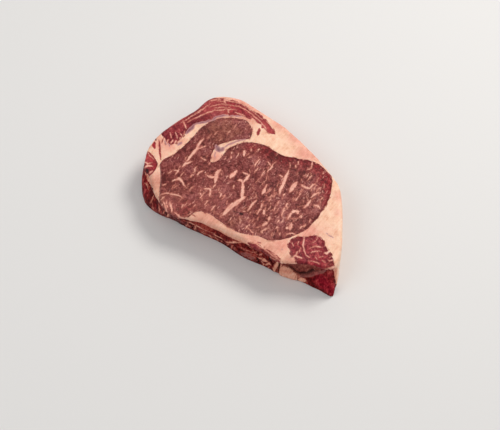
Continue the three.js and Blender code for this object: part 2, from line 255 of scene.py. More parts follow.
# Grey connective skin on the upper face
UPPER_SKIN = [
    (1.7, (-18.4, 35.4), (-17.4, 32.6), (-15.6, 29.4)),
    (1.4, (-16.6, 30.4), (-13.8, 31.4), (-12.4, 33.4)),
    (0.5, (-12.3, 33.5), (-9, 35.6), (-2.5, 38.6), (3.7, 40.3)),
    (0.3, (-19, 29), (-19.6, 26), (-19.2, 23)), (0.9, (-47.4, 35), (-44.6, 38)),
    (1.3, (-41.4, 44.6), (-39.8, 47.4), (-37.1, 50), (-35.6, 53.6)),
    (0.9, (-36, 53.2), (-31, 54.4), (-26.7, 55.4), (-22, 56.8)),
    (0.8, (-22.6, 56.4), (-18, 59.8), (-13.6, 61), (-9, 60.8)),
    (0.4, (-9, 60.6), (-4.7, 60.9), (0.8, 60.2)), (0.3, (-57.6, 39), (-56.4, 36)),
    (0.3, (-55, 37), (-54, 34)), (0.2, (64.4, -38.6), (66.6, -40.6), (69.4, -42)),
    (0.2, (31.6, -51.6), (31, -52.6)),
]
# Cracks and nicks in the upper face, in the same way: sunk, and painted near black as shade in them
UPPER_GAPS = [
    (0.8, (-0.4, -22.2), (2.4, -23.2)), (1.1, (-71.6, 16.4), (-69.4, 13.6)),
    (0.3, (-5.4, -20.6), (-0.6, -22)), (0.3, (40, -57.6), (37, -58.2)),
    (0.35, (-64.8, 42), (-64.8, 40)), (0.4, (-37.6, -20), (-39.6, -21.4)),
    (0.45, (-43.4, -22), (-41.6, -22.6)), (0.4, (-68.6, 6.4), (-67, 1), (-64.6, -5)),
]

# Rusty strands in the fat
TANNED_STRANDS = [
    (0.3, (-35, -22.4), (-28, -25.6), (-21, -29.6), (-14, -33.6)),
    (0.3, (-24, -30.6), (-17, -34.6), (-8, -39.4)),
    (0.25, (-31, -24.8), (-24, -28.6), (-16, -33.6), (-9, -37.4)),
    (0.2, (-38, -23.4), (-34, -24.6), (-29, -27)), (0.25, (-4, -40.4), (4, -43), (12, -44.6)),
    (0.4, (-68, 9), (-66.4, 3), (-63, -4), (-60, -9)), (0.3, (-63.6, 8), (-62.8, 1), (-61.6, -6)),
]

# Spots of colour: x, y, width, strength
BROWNING = [
    (-12, 50, 11, 0.8), (-3, -30, 8, 0.7), (19, -38, 8, 0.5), (-50, -1, 8, 0.4), (-25, 22, 9, 0.2),
    (50, -5, 8, 0.2), (5, -20, 7, 0.3), (36, -61, 4, 0.7), (-66, 3, 5, 1.0), (-62, -8, 4, 1.0),
    (-32, -24, 8, 0.15), (20, -53, 6, 0.5), (65, -66, 4, 0.6), (-27, -26, 6, 0.6), (-36, -22, 5, 0.6),
    (-18, -31, 6, 0.45), (-9, -36, 6, 0.4),
]
CRIMSON = [
    (-68, 26, 6, 0.9), (-65, 19, 4, 0.6), (67, 6, 7, 1.0), (68, -4, 5, 0.9), (60, 17, 6, 0.8),
    (48, 21, 6, 0.6), (35, 25, 6, 0.7), (66, -13, 4, 0.7), (22, 33, 7, 0.7), (9, 35, 5, 0.6),
    (-18, 72, 12, 0.2), (22, 48, 9, 0.6), (58, -62, 6, 0.7), (-40, -19, 7, 0.4), (-66, 36, 4, 1.0),
    (-48, -15, 5, 0.25), (-5, 67, 8, 0.6), (14, 46, 3, 1.0), (52, -52, 11, 0.4),
]
FLECKED = [
    (28, -18, 18, 1.0), (54, -6, 10, 1.0), (10, -24, 10, 0.7), (40, 8, 10, 0.4), (-24, -6, 12, 0.4),
]
PALE = [
    (-17, 71, 10, 0.7), (20, 52, 8, 0.9), (-24, -12, 12, 0.35), (-52, -14, 8, 0.4), (-70, 26, 5, 0.8),
    (-46, 60, 4, 0.8), (-38, 68, 4, 0.9), (-28, 75, 4, 0.9),
]
BLUSH = [
    (60, 30, 7, 1.0), (46, 44, 7, 1.0), (33, 57, 7, 1.0), (18, 68, 7, 0.9), (73, -22, 3, 0.5),
    (-25, -28, 12, 0.7), (10, -44, 10, 0.7), (38, -61, 5, 0.8), (62, -67, 4, 0.9), (-63, 6, 6, 0.9),
    (-62, 38, 5, 0.6), (60, -38, 8, 0.4), (0, 74, 7, 0.9), (22, -54, 8, 0.8), (-20, 68, 12, 0.9),
    (50, 28, 7, 0.8), (74, -8, 4, 0.6), (4, 64, 10, 0.9), (-46, 58, 8, 0.9), (-5, -38, 9, 0.5),
    (-52, -16, 8, 0.8), (-54, 35, 4, 0.9), (-46, 38, 4, 0.6), (-61, 36, 4, 0.8), (51, -38, 6, 1.0),
    (30, -48, 7, 0.9), (-59, 29, 5, 0.5), (-18, 25, 4, 0.9),
]

# The front and left side, laid out flat: s runs along the rim counterclockwise from the left end,
# the second number is the height. Each line starts with half of its width.
FRONT = (-9, 184)
BAND_EDGE = [
    (-20, 31), (5, 31), (8, 19), (14, 19), (19, 22), (24, 27.5), (30, 28.5), (44, 29), (57, 28),
    (66, 27.5), (75, 26.5), (80, 25), (100, 23.4), (103, 23), (107, 25.4), (118, 27.5), (124, 30),
    (133, 30), (140, 27.5), (150, 27), (165, 27.5), (175, 29), (179, 26), (182, 12), (184, -2),
]
SIDE_FAT = [
    (0.9, (108, 26), (103.6, 22.4), (98.6, 18.6), (94.6, 14.6), (91.6, 11.6)),
    (0.8, (58, 21), (66, 19.6), (74, 17.6), (79.4, 17), (83, 18)),
    (0.8, (82, 16), (88, 14.4), (91, 14)), (0.6, (70, 6), (77, 8), (84, 6)), (0.5, (58, 12), (66, 10)),
    (0.5, (95.4, 13), (94, 8), (92.4, 2)), (0.45, (98.6, 14), (97, 8), (96.6, 2)),
    (0.35, (100.4, 12), (99.4, 5)), (0.45, (104, 16.4), (110, 17.4), (115, 19.4), (119, 23)),
    (0.35, (111, 24.6), (116, 22.6), (121, 21)), (2.4, (124.6, 13), (126.6, 18.6)),
    (1.6, (128.2, 14.6), (130.8, 12.6)), (1.0, (121, 17), (123.6, 18.6)),
    (1.0, (122, 10.6), (123.4, 6), (122.6, 1)), (0.9, (125, 8), (128, 11), (131, 14.6)),
    (0.8, (127.4, 1), (129, 7)), (0.5, (121, 20), (123.6, 25)),
    (1.5, (133.4, 0), (134, 8), (136, 18), (137.4, 28)), (0.7, (138.6, 8), (139.4, 17), (140.4, 27)),
    (2.2, (152.4, 1), (154, 3.4), (157, 6)), (0.7, (163.4, 15), (165.4, 19)),
    (0.5, (166.4, 18.4), (169, 23)), (1.0, (4, 25), (7, 21)), (0.6, (8, 14.6), (12, 16.6), (17, 17)),
    (0.5, (29, 13), (32, 7), (33, 2)), (0.55, (34, 22), (37, 13), (38.4, 6)),
    (0.4, (40.6, 20), (41.4, 10)), (1.0, (45.6, 27), (45, 15), (43.6, 2)),
    (0.6, (52.6, 28), (53.4, 22)), (0.45, (61, 19), (60, 9), (59, 1)),
    (0.6, (68.4, 22), (67, 15), (66, 6), (66.4, 1)), (0.4, (63, 24), (63.6, 20)),
    (0.4, (73.6, 14), (71.4, 6)), (0.5, (77, 12), (79, 5), (79, 1)), (0.5, (83, 13), (85, 6), (84, 1)),
    (0.4, (88.6, 10), (88, 3)), (0.4, (25, 22), (27, 16), (27, 10)),
]
FLAP = [
    (138.4, 13), (141, 16.6), (145.4, 14.6), (149, 11.4), (151.6, 8.4), (152.4, 4), (151, -1),
    (138, -1),
]
HOLLOW = [
    (140.8, 27.6), (140.8, 17.6), (145, 15), (149.4, 11.6), (151.6, 9.2), (154.6, 8.8), (158, 10.8),
    (161.6, 13.4), (165.4, 17), (168, 22), (168, 27.6), (154, 28.2),
]
# Cracks and clefts in the side: sunk, and painted near black as shade in them
SIDE_GAPS = [
    (0.9, (12, 18.6), (15, 19), (18, 21.6), (22, 25.6)), (1.0, (118.4, 14), (119.4, 8), (118.4, 2)),
    (1.2, (129.4, 24.6), (131, 20), (133, 16.4)), (0.5, (137.6, 25), (137.5, 12), (137.2, 2)),
    (1.1, (101.4, 12.6), (105, 11.8), (109.6, 13.4)), (0.5, (174.6, 28), (177, 25)),
    (0.6, (139.6, 16), (143, 16), (147, 13.4), (150.4, 10), (153, 8.6), (157, 10.4), (161, 13.6),
     (166, 18), (169, 23)),
    (0.6, (86, 13), (91, 9.6)), (0.5, (110, 21), (116, 23.4)), (0.6, (94.6, 9), (93.4, 2)),
    (0.5, (63, 18), (65, 8)), (0.5, (42.4, 20), (42.8, 8)), (0.5, (48, 24), (48.4, 8)),
]
SIDE_CRIMSON = [
    (12, 13, 7, 0.5), (177, 7, 4.5, 1.0), (171, 11, 6, 0.9), (176, 20, 3, 0.6), (-6, 12, 8, 0.7),
    (34, 12, 6, 0.3), (8, 22, 5, 0.5),
]
SIDE_SKIN = [
    (1.6, (105.6, 3), (107, 7.6), (110, 11), (114, 14)), (1.5, (111, 3), (113.4, 8), (116.6, 13)),
    (1.3, (153, 6.6), (158, 10), (161, 12), (165, 15.6), (169, 20), (174, 26)),
    (2.0, (12.6, 23.4), (16, 26.6), (21, 29.4)),
]


def closed_curve(knots, steps):
    """A closed centripetal Catmull-Rom curve: a cubic Hermite span from each knot to the next.

    The slope at a knot comes from its two neighbours, with each chord weighed by the square root of
    its length. Returns steps points on every span.
    """
    p1 = np.asarray(knots, float)
    p0, p2, p3 = np.roll(p1, 1, 0), np.roll(p1, -1, 0), np.roll(p1, -2, 0)
    d0, d1, d2 = (np.linalg.norm(b - a, axis=1)[:, None] ** 0.5 for a, b in ((p0, p1), (p1, p2), (p2, p3)))
    slope_1 = d1 * ((p1 - p0) / d0 - (p2 - p0) / (d0 + d1) + (p2 - p1) / d1)
    slope_2 = d1 * ((p2 - p1) / d1 - (p3 - p1) / (d1 + d2) + (p3 - p2) / d2)
    t = (np.arange(steps) / steps)[None, :, None]
    p1, p2, slope_1, slope_2 = (a[:, None, :] for a in (p1, p2, slope_1, slope_2))
    start = (2 * t**3 - 3 * t**2 + 1) * p1 + (t**3 - 2 * t**2 + t) * slope_1
    end = (-2 * t**3 + 3 * t**2) * p2 + (t**3 - t**2) * slope_2
    return (start + end).reshape(-1, 2)


def lengths_along(points):
    """Length from the first point to each point of a closed line, and round to the first again."""
    steps = np.linalg.norm(np.roll(points, -1, 0) - points, axis=1)
    return np.concatenate([[0.0], np.cumsum(steps)])


def even(points, count, *others):
    """A closed line resampled at count even steps of its length, and other lines at the same places."""
    run = lengths_along(points)
    at = np.arange(count) * run[-1] / count
    lines = [np.vstack([line, line[:1]]) for line in (points, *others)]
    return [np.stack([np.interp(at, run, line[:, c]) for c in (0, 1)], 1) for line in lines]


def outward(points):
    """Unit normals of a closed counterclockwise line, pointing out of it."""
    along = np.roll(points, -1, 0) - np.roll(points, 1, 0)
    along /= np.linalg.norm(along, axis=1)[:, None]
    return np.stack([along[:, 1], -along[:, 0]], 1)


def laid_flat(plan):
    """Flat places as points at height zero."""
    return np.column_stack([plan, np.zeros(len(plan))])


def turning(loop):
    """Twice the area inside a closed line, above zero where it runs counterclockwise."""
    x, y = loop.T
    return (x * np.roll(y, -1) - y * np.roll(x, -1)).sum()


def lattice(cell, seed):
    """A repeatable number from -1 to 1 for each whole-number cell, by mixing its indices' bits."""
    x, y, z = (cell[..., k] * mixer for k, mixer in enumerate(CELL_MIXERS))
    mixed = x ^ y ^ z ^ seed * SEED_MIXER
    mixed = (mixed ^ (mixed >> 13)) * BIT_MIXER & 0x7FFFFFFF
    mixed = (mixed ^ (mixed >> 11)) & 0xFFFF
    return mixed / 32767.5 - 1


def noise(points, size, seed):
    """Noise from -1 to 1: numbers on a lattice of that size, blended smoothly between its corners."""
    place = points / np.asarray(size, float)
    cell = np.floor(place).astype(np.int64)
    t = place - cell
    t = t * t * (3 - 2 * t)
    total = np.zeros(points.shape[:-1])
    for dx in (0, 1):
        for dy in (0, 1):
            for dz in (0, 1):
                corner = np.array([dx, dy, dz])
                share = np.prod(np.where(corner == 1, t, 1 - t), axis=-1)
                total += share * lattice(cell + corner, seed)
    return total


def smooth(low, high, value):
    """0 below low, 1 above high, and an S-shaped rise between them."""
    t = np.clip((value - low) / (high - low), 0, 1)
    return t * t * (3 - 2 * t)


def line_distance(places, rows, reach=4.0):
    """Signed distance to the nearest of many lines, negative inside one, and at most reach.

    A row is a half-width and the line's points. The width falls off towards both ends, by the cube
    of the share of the way from the middle.
    """
    best = np.full(len(places), reach)
    for half, *knots in rows:
        line = np.asarray(knots, float)
        low, high = line.min(0) - half - reach, line.max(0) + half + reach
        near = np.flatnonzero(((places > low) & (places < high)).all(1))
        p = places[near]
        run = np.concatenate([[0], np.cumsum(np.linalg.norm(np.diff(line, axis=0), axis=1))])
        for k in range(len(line) - 1):
            along = line[k + 1] - line[k]
            t = np.clip((p - line[k]) @ along / (along @ along), 0, 1)
            gap = np.linalg.norm(p - line[k] - t[:, None] * along, axis=1)
            share = (run[k] + t * (run[k + 1] - run[k])) / run[-1]
            width = half * (1 - END_TAPER * np.abs(2 * share - 1) ** 3)
            best[near] = np.minimum(best[near], gap - width)
    return best


def short_streaks(count, seed):
    """Rows of short fat streaks at seeded places across the eye, thickest where it is most flecked."""
    draw = np.random.default_rng(seed)
    rows = []
    while len(rows) < count:
        middle = draw.uniform(*EYE_BOX)
        if draw.uniform() > 0.12 + 0.88 * spots(middle[None], FLECKED)[0]:
            continue
        turn = math.radians(draw.normal(58, 24))
        half = draw.uniform(0.9, 2.8) * np.array([math.cos(turn), math.sin(turn)])
        bend = draw.normal(0, 0.45, 2)
        rows.append((draw.uniform(0.15, 0.45), middle - half, middle + bend, middle + half))
    return rows


def spots(places, rows):
    """The strongest of several bell-shaped spots at each place: x, y, width, strength."""
    total = np.zeros(len(places))
    for x, y, width, strength in rows:
        away = ((places - (x, y)) ** 2).sum(1) / width**2
        total = np.maximum(total, strength * np.exp(-0.5 * away))
    return total


def inside_distance(points, loop, reach=FAR):
    """Signed distance to a closed outline, negative inside and no more than reach outside."""
    result = np.full(len(points), float(reach))
    low, high = loop.min(0) - reach, loop.max(0) + reach
    near = np.flatnonzero(((points > low) & (points < high)).all(1))
    ends = np.roll(loop, -1, 0)
    for part in np.array_split(near, max(1, len(near) // AT_ONCE)):
        p = points[part][:, None, :]
        edge = ends - loop
        t = np.clip(((p - loop) * edge).sum(2) / (edge**2).sum(1), 0, 1)
        gap = np.linalg.norm(p - loop - t[..., None] * edge, axis=2).min(1)
        straddles = (loop[:, 1] > p[..., 1]) != (ends[:, 1] > p[..., 1])
        rise = np.where(edge[:, 1] == 0, 1e-9, edge[:, 1])
        crossing = loop[:, 0] + (p[..., 1] - loop[:, 1]) / rise * edge[:, 0]
        inside = (straddles & (p[..., 0] < crossing)).sum(1) % 2 == 1
        result[part] = np.where(inside, -gap, np.minimum(gap, reach))
    return result


def stepped_distance(points, loop, reach):
    """Signed distance to a closed outline, cut towards zero to whole millimetres."""
    return np.trunc(inside_distance(points, loop, reach))


def patch_distance(places, knots, reach=4):
    """The stepped distance to a small patch given by a few knots."""
    return stepped_distance(places, closed_curve(knots, PATCH_STEPS), reach)


def wavering(knots, seed, amount=0.35):
    """A muscle's outline as it is in meat: the smooth curve, pushed in and out by noise along it."""
    curve = closed_curve(knots, MUSCLE_STEPS)
    count = int(lengths_along(curve)[-1] / OUTLINE_STEP)
    (curve,) = even(curve, count)
    place = laid_flat(curve)
    push = amount * noise(place, 4.5, seed) + 0.5 * amount * noise(place, 1.7, seed + 1)
    return curve + np.sign(turning(curve)) * outward(curve) * push[:, None]


def upper_height(x, y):
    """Height of the upper face: the thickness, less a bell-shaped drop at each low place."""
    height = np.full(np.shape(x), THICKNESS)
    for cx, cy, width, drop in DIPS:
        height = height - drop * np.exp(-0.5 * ((x - cx) ** 2 + (y - cy) ** 2) / width**2)
    return height


def rim(count):
    """The upper edge and the foot at count even steps of the upper edge, with outward normals."""
    upper, foot = closed_curve(RIM[:, :2], RIM_STEPS), closed_curve(RIM[:, 2:], RIM_STEPS)
    upper, foot = even(upper, count, foot)
    return upper, foot, outward(upper)


def swell(plan, z):
    """How far the side stands out of its plain blend: its belly, and its own swells and hollows."""
    push = BELLY * np.sin(np.pi * z / THICKNESS)
    for cx, cy, cz, width, tall, reach in SIDE_FORMS:
        across = ((plan[..., 0] - cx) ** 2 + (plan[..., 1] - cy) ** 2) / width**2
        push = push + reach * np.exp(-0.5 * (across + ((z - cz) / tall) ** 2))
    return push


def side_point(upper, foot, out, z, inset):
    """Points of the side: an S-shaped blend from foot to upper edge, swelled by its belly and forms."""
    rise = smooth(0, THICKNESS - UPPER_ROUND, z)[..., None]
    plan = foot + (upper - foot) * rise
    plan = plan + out * (swell(plan, z) - inset)[..., None]
    return np.concatenate([plan, z[..., None]], -1)


def side_profile(top):
    """Heights and insets up each column of the side: a small round, a straight, a large round."""
    turn = np.linspace(0, np.pi / 2, ROUND_STEPS)[None, :]
    top = top[:, None]
    lower_z, lower_in = LOWER_ROUND * (1 - np.cos(turn)), LOWER_ROUND * (1 - np.sin(turn))
    share = np.linspace(0, 1, SIDE_STEPS + 1)[None, 1:-1]
    straight = LOWER_ROUND + (top - UPPER_ROUND - LOWER_ROUND) * share
    upper_z, upper_in = top - UPPER_ROUND * (1 - np.sin(turn)), UPPER_ROUND * (1 - np.cos(turn))
    z = np.concatenate([np.broadcast_to(lower_z, (len(top), ROUND_STEPS)), straight, upper_z], 1)
    zero = np.zeros_like(straight)
    wide = [np.broadcast_to(a, (len(top), ROUND_STEPS)) for a in (lower_in, upper_in)]
    return z, np.concatenate([wide[0], zero, wide[1]], 1)


def face_places(squares):
    """For each corner of a square grid: its share of the way out, and its share of the way round."""
    line = np.linspace(-1, 1, squares + 1)
    a, b = np.meshgrid(line, line, indexing="ij")
    out = np.maximum(np.abs(a), np.abs(b))
    safe = np.where(out == 0, 1, out)
    p, q = a / safe, b / safe
    round_ = 0.75 + (p + 1) / 8
    round_ = np.where(p == -1, 0.5 + (1 - q) / 8, round_)
    round_ = np.where(q == 1, 0.25 + (1 - p) / 8, round_)
    round_ = np.where(p == 1, (q + 1) / 8, round_)
    return out, round_ % 1


def face_points(edge, squares):
    """A cut face: each ring of the square grid is the edge drawn in towards the middle."""
    out, round_ = face_places(squares)
    place = round_ * len(edge)
    low = np.floor(place).astype(int)
    share = (place - low)[..., None]
    at = edge[low % len(edge)] * (1 - share) + edge[(low + 1) % len(edge)] * share
    return (at * out[..., None]).reshape(-1, 2)


def face_rim(squares):
    """The numbers of a square grid's edge points, and how many steps round the edge each one lies."""
    out, round_ = (share.ravel() for share in face_places(squares))
    on_edge = np.flatnonzero(out == 1)
    return on_edge, np.rint(round_[on_edge] * 4 * squares).astype(int) % (4 * squares)


def grid_faces(rows, columns, first=0, wrap=False):
    """Quads of a grid of points numbered row by row. With wrap the last row joins the first."""
    i = np.arange(rows if wrap else rows - 1)[:, None]
    j = np.arange(columns - 1)[None, :]
    n = (i + 1) % rows
    quads = np.stack([i * columns + j, n * columns + j, n * columns + j + 1, i * columns + j + 1], -1)
    return quads.reshape(-1, 4) + first


def placed(name, data):
    """A new object in the scene that shows data."""
    obj = bpy.data.objects.new(name, data)
    bpy.context.scene.collection.objects.link(obj)
    return obj


def mesh_object(name, points, faces):
    """A smooth-shaded mesh object from points in millimetres and a list of arrays of faces."""
    mesh = bpy.data.meshes.new(name)
    loops = np.concatenate([f.ravel() for f in faces])
    sizes = np.concatenate([np.full(len(f), f.shape[1]) for f in faces])
    mesh.vertices.add(len(points))
    mesh.vertices.foreach_set("co", (points * MM).astype(np.float32).ravel())
    mesh.loops.add(len(loops))
    mesh.loops.foreach_set("vertex_index", loops.astype(np.int32))
    mesh.polygons.add(len(sizes))
    mesh.polygons.foreach_set("loop_start", (np.cumsum(sizes) - sizes).astype(np.int32))
    mesh.polygons.foreach_set("use_smooth", np.ones(len(sizes), bool))
    mesh.update(calc_edges=True)
    mesh.validate()
    return placed(name, mesh)


outlines = {
    "eye_muscle": wavering(EYE, 11),
    "cap_muscle": wavering(CAP, 23),
    "tail_muscle": wavering(TAIL, 37),
    "side_meat": wavering(END_UPPER, 41),
}


def lean_depth(points):
    """How far the lean lies below the fat: a smooth step across the muscles' outlines."""
    inside = np.full(len(points), FAR)
    for loop in outlines.values():
        inside = np.minimum(inside, inside_distance(points, loop))
    return LEAN_SINK * (1 - smooth(-SINK_WIDTH, 0.15, inside)), inside


def side_columns(spokes):
    """The side as a grid of points: one column up the side at each step round the rim."""
    upper, foot, out = rim(spokes)
    lip = side_point(upper, foot, out, np.full(spokes, THICKNESS), np.full(spokes, UPPER_ROUND))
    top = upper_height(lip[:, 0], lip[:, 1])
    z, inset = side_profile(top)
    rows = z.shape[1]
    side = side_point(upper[:, None], foot[:, None], out[:, None], z, inset)
    s = np.arange(spokes) * rim_length() / spokes
    shape = roughen(side.reshape(-1, 3), np.repeat(out, rows, 0), s.repeat(rows), top.repeat(rows))
    return shape.reshape(spokes, rows, 3)


def slab():
    """The whole steak: the side as a tube of columns, and a square grid drawn out to each of its ends.

    The lower grid has half as many squares, so its edge points meet every second column.
    """
    spokes, half = 4 * FACE_SQUARES, FACE_SQUARES // 2
    side = side_columns(spokes)
    rows = side.shape[1]

    plan = face_points(side[:, -1, :2], FACE_SQUARES)
    face_up = np.column_stack([plan, upper_height(plan[:, 0], plan[:, 1]) + face_relief(plan)])
    on_edge, column = face_rim(FACE_SQUARES)
    side[column, -1] = face_up[on_edge]
    face_down = laid_flat(face_points(side[::2, 0, :2] * LOWER_SHARE, half))

    points = np.concatenate([side.reshape(-1, 3), face_up, face_down])
    first_up, first_down = spokes * rows, spokes * rows + len(face_up)
    index = np.arange(len(points))
    index[first_up + on_edge] = column * rows + rows - 1

    ring = np.full(4 * half, -1)
    on_edge, step = face_rim(half)
    ring[step] = first_down + on_edge
    feet = (2 * np.arange(4 * half)[:, None] + [2, 1, 0]) % spokes * rows
    hem = np.column_stack([ring, np.roll(ring, -1), feet])

    faces = [
        grid_faces(spokes, rows, wrap=True),
        index[grid_faces(FACE_SQUARES + 1, FACE_SQUARES + 1, first_up)],
        grid_faces(half + 1, half + 1, first_down)[:, ::-1],
        hem,
    ]
    points = np.clip(points, *(np.array(corner) / MM for corner in cad_box))
    used = np.unique(np.concatenate([f.ravel() for f in faces]))
    number = np.full(len(points), -1)
    number[used] = np.arange(len(used))
    return mesh_object("slab", points[used], [number[f] for f in faces])


def rim_length():
    """The length of the upper edge, once round."""
    return lengths_along(closed_curve(RIM[:, :2], RIM_STEPS))[-1]


def unwound(s):
    """Rim lengths with the stretch just before the left end counted back from zero."""
    return np.where(s > rim_length() + FRONT[0] - 5, s - rim_length(), s)


def side_place(points):
    """Where points lie on the side: length along the rim, and depth under the side's smooth surface.

    The rim is blended between foot and upper edge at each point's height, and its nearest mark found.
    """
    upper, foot, out = rim(RIM_MARKS)
    along = np.column_stack([-out[:, 1], out[:, 0]])
    step = rim_length() / RIM_MARKS
    s, depth = np.empty(len(points)), np.empty(len(points))
    for part in np.array_split(np.arange(len(points)), len(points) // AT_ONCE + 1):
        rise = smooth(0, THICKNESS - UPPER_ROUND, points[part, 2])[:, None, None]
        blend = foot + (upper - foot) * rise
        offset = points[part, None, :2] - blend
        pick = np.arange(len(part)), (offset**2).sum(2).argmin(1)
        nearest, offset = pick[1], offset[pick]
        s[part] = nearest * step + np.clip((offset * along[nearest]).sum(1), -step, step)
        depth[part] = swell(blend[pick], points[part, 2]) - (offset * out[nearest]).sum(1)
    return unwound(s), depth


def front_share(s):
    """1 on the front and left side, where ribs were cut away, and 0 elsewhere."""
    return smooth(FRONT[0] - 3, FRONT[0] + 3, s) * (1 - smooth(FRONT[1] - 2, FRONT[1] + 2, s))


def frayed(place, size, amount, seed):
    """Flat places shifted a little by noise, so that what is drawn on them gets uneven edges."""
    at = laid_flat(place)
    return place + amount * np.stack([noise(at, size, seed), noise(at, size, seed + 1)], 1)


def above_band(place):
    """Height of places on the side above the lower edge of the band of fat."""
    return place[:, 1] - np.interp(place[:, 0], *np.transpose(BAND_EDGE))


def raised(height, low, high, distance):
    """A height inside a line or patch, falling to nothing in an S between two distances from it."""
    return height * (1 - smooth(low, high, distance))


def side_tissue(place):
    """Signed distance to fat on the front side: above zero in fat, below in lean."""
    place = frayed(place, (3, 2, 1), 0.45, 71)
    fat = np.maximum(above_band(place), -line_distance(place, SIDE_FAT))
    return np.maximum(fat, -patch_distance(place, FLAP))


def side_relief(place):
    """How far the front side's own features stand out of its plain surface, or sink into it.

    Strips of fat, the flap and the band along the top stand proud of the lean, gaps and the hollow
    are sunk, and long strands and lumps of noise run between them.
    """
    ragged = frayed(place, (2.5, 1.5, 1), 0.4, 73)
    at = laid_flat(place)
    push = raised(0.55, -0.9, 0.9, line_distance(ragged, SIDE_FAT))
    push += raised(1.1, -2.6, 0.6, patch_distance(ragged, FLAP))
    push -= raised(1.5, -0.9, 0.7, line_distance(ragged, SIDE_GAPS))
    push -= raised(2.2, -2.4, 0.3, patch_distance(ragged, HOLLOW))
    push -= raised(0.7, -1.6, 0.6, above_band(place))
    strands = noise(at, (8, 1.9, 1), 75) + 0.5 * noise(at, (4, 0.9, 1), 76)
    folds = noise(at, (1.7, 7, 1), 77) + 0.5 * noise(at, (0.9, 5, 1), 78)
    upright = 1 - smooth(50, 66, place[:, 0])
    lumps = smooth(116, 120, place[:, 0]) * (1 - smooth(136, 140, place[:, 0]))
    push += 0.28 * (strands * (1 - upright) + folds * upright)
    push += lumps * (0.8 * noise(at, 3.4, 79) + 0.4 * noise(at, 1.6, 80))
    return push


def roughen(side, out, s, top):
    """The side's own unevenness: trimmed facets and soft lumps, and on the front its strips and gaps."""
    fade = smooth(0, 1.6, side[:, 2]) * smooth(0, 2.6, top - side[:, 2])
    s = unwound(s)
    front = front_share(s)
    push = 0.35 * noise(side, 9, 3) + 0.12 * noise(side, 3, 4)
    push += front * side_relief(np.column_stack([s, side[:, 2]]))
    moved = side.copy()
    moved[:, :2] += out * (push * fade)[:, None]
    return moved


def face_relief(plan):
    """The upper face's relief: lean sunk below fat, slow waves from the knife, low lumps and nicks."""
    sink, inside = lean_depth(plan)
    place = laid_flat(plan)
    waves = 0.16 * noise(place, 14, 8) + 0.07 * noise(place, 5, 9)
    lumps = 0.06 * noise(place, 2, 10) * (inside < 0)
    ragged = frayed(plan, 2, 0.4, 81)
    streaks = raised(0.14, -0.7, 0.7, line_distance(ragged, MARBLING, 1.5)) * (inside < 0)
    nicks = raised(0.5, -0.8, 0.6, line_distance(ragged, UPPER_GAPS, 1.5))
    seams = raised(0.25, -1.2, 0.4, line_distance(ragged, UPPER_SKIN, 1.5))
    patch = raised(0.35, -1.4, 0.4, patch_distance(ragged, RAGGED_PATCH, 2))
    return waves + lumps + streaks - nicks - seams - patch - sink


def cutter(name, loop):
    """An upright block of a closed outline, from below the slab to above it."""
    count = len(loop)
    if turning(loop) < 0:
        loop = loop[::-1]
    bottom, top = (np.column_stack([loop, np.full(count, z)]) for z in BLOCK_HEIGHTS)
    i = np.arange(count)
    n = (i + 1) % count
    sides = np.stack([i, n, n + count, i + count], 1)
    return mesh_object(name, np.concatenate([bottom, top]), [sides, i[None, ::-1], i[None] + count])


def lid(name, level, seed):
    """A block under an uneven top: everything below a height that wavers about its level."""
    span, squares = 90, 150
    line = np.linspace(-span, span, squares + 1)
    x, y = np.meshgrid(line, line, indexing="ij")
    flat = laid_flat(np.column_stack([x.ravel(), y.ravel()]))
    top = flat.copy()
    top[:, 2] = level + 1.1 * noise(flat, 9, seed) + 0.5 * noise(flat, 3, seed + 1)
    bottom = flat + (0, 0, BLOCK_HEIGHTS[0])
    corners = np.arange(x.size).reshape(x.shape)
    ring = np.concatenate([corners[:-1, 0], corners[-1, :-1], corners[:0:-1, -1], corners[0, :0:-1]])
    wall = np.stack([ring, np.roll(ring, -1), np.roll(ring, -1), ring], 1) + [x.size, x.size, 0, 0]
    faces = grid_faces(squares + 1, squares + 1)
    return mesh_object(name, np.concatenate([top, bottom]), [faces, faces[:, ::-1] + x.size, wall])


def boolean(target, other, operation):
    """Unites target with other, or cuts it with other, for good."""
    step = target.modifiers.new("cut", "BOOLEAN")
    step.solver = "MANIFOLD"
    step.operation = operation
    step.object = other
    with bpy.context.temp_override(object=target, active_object=target):
        bpy.ops.object.modifier_apply(modifier=step.name)


def copied(obj, name):
    twin = placed(name, obj.data.copy())
    twin.data.name = name
    return twin


def discard(*objects):
    for obj in objects:
        data = obj.data
        bpy.data.objects.remove(obj)
        bpy.data.meshes.remove(data)


def cut_steak():
    """The slab cut along the muscles into its tissues, each a closed piece."""
    whole = slab()
    loops = outlines | {"rib_meat": wavering(RIB, 53)}
    blocks = {name: cutter(name + "_block", loop) for name, loop in loops.items()}
    eye, side, rib = blocks["eye_muscle"], blocks["side_meat"], blocks["rib_meat"]
    end_side = cutter("end_side_block", wavering(END_SIDE, 61))
    rib_lid, end_lid = lid("rib_lid", RIB_TOP, 63), lid("end_lid", END_TOP, 65)
    boolean(rib, rib_lid, "INTERSECT")
    boolean(end_side, end_lid, "INTERSECT")
    boolean(side, end_side, "UNION")
    for target, other in ((rib, side), (eye, side), (eye, rib)):
        boolean(target, other, "DIFFERENCE")
    pieces = {}
    for name, block in blocks.items():
        pieces[name] = copied(whole, name)
        boolean(pieces[name], block, "INTERSECT")
        boolean(whole, block, "DIFFERENCE")
    whole.name = whole.data.name = "fat"
    pieces["fat"] = whole
    discard(end_side, rib_lid, end_lid, *blocks.values())
    return pieces


def muscle_edge(plan):
    """Stepped distance to the nearest muscle's edge, negative in the lean, and where it is loose.

    The cap and the tail are loose muscles: fat reaches into them more than into the others.
    """
    away = {name: stepped_distance(plan, loop[::2], 3) for name, loop in outlines.items()}
    firm = np.minimum(away["eye_muscle"], away["side_meat"])
    loose = np.minimum(away["cap_muscle"], away["tail_muscle"])
    return np.minimum(firm, loose), loose < firm


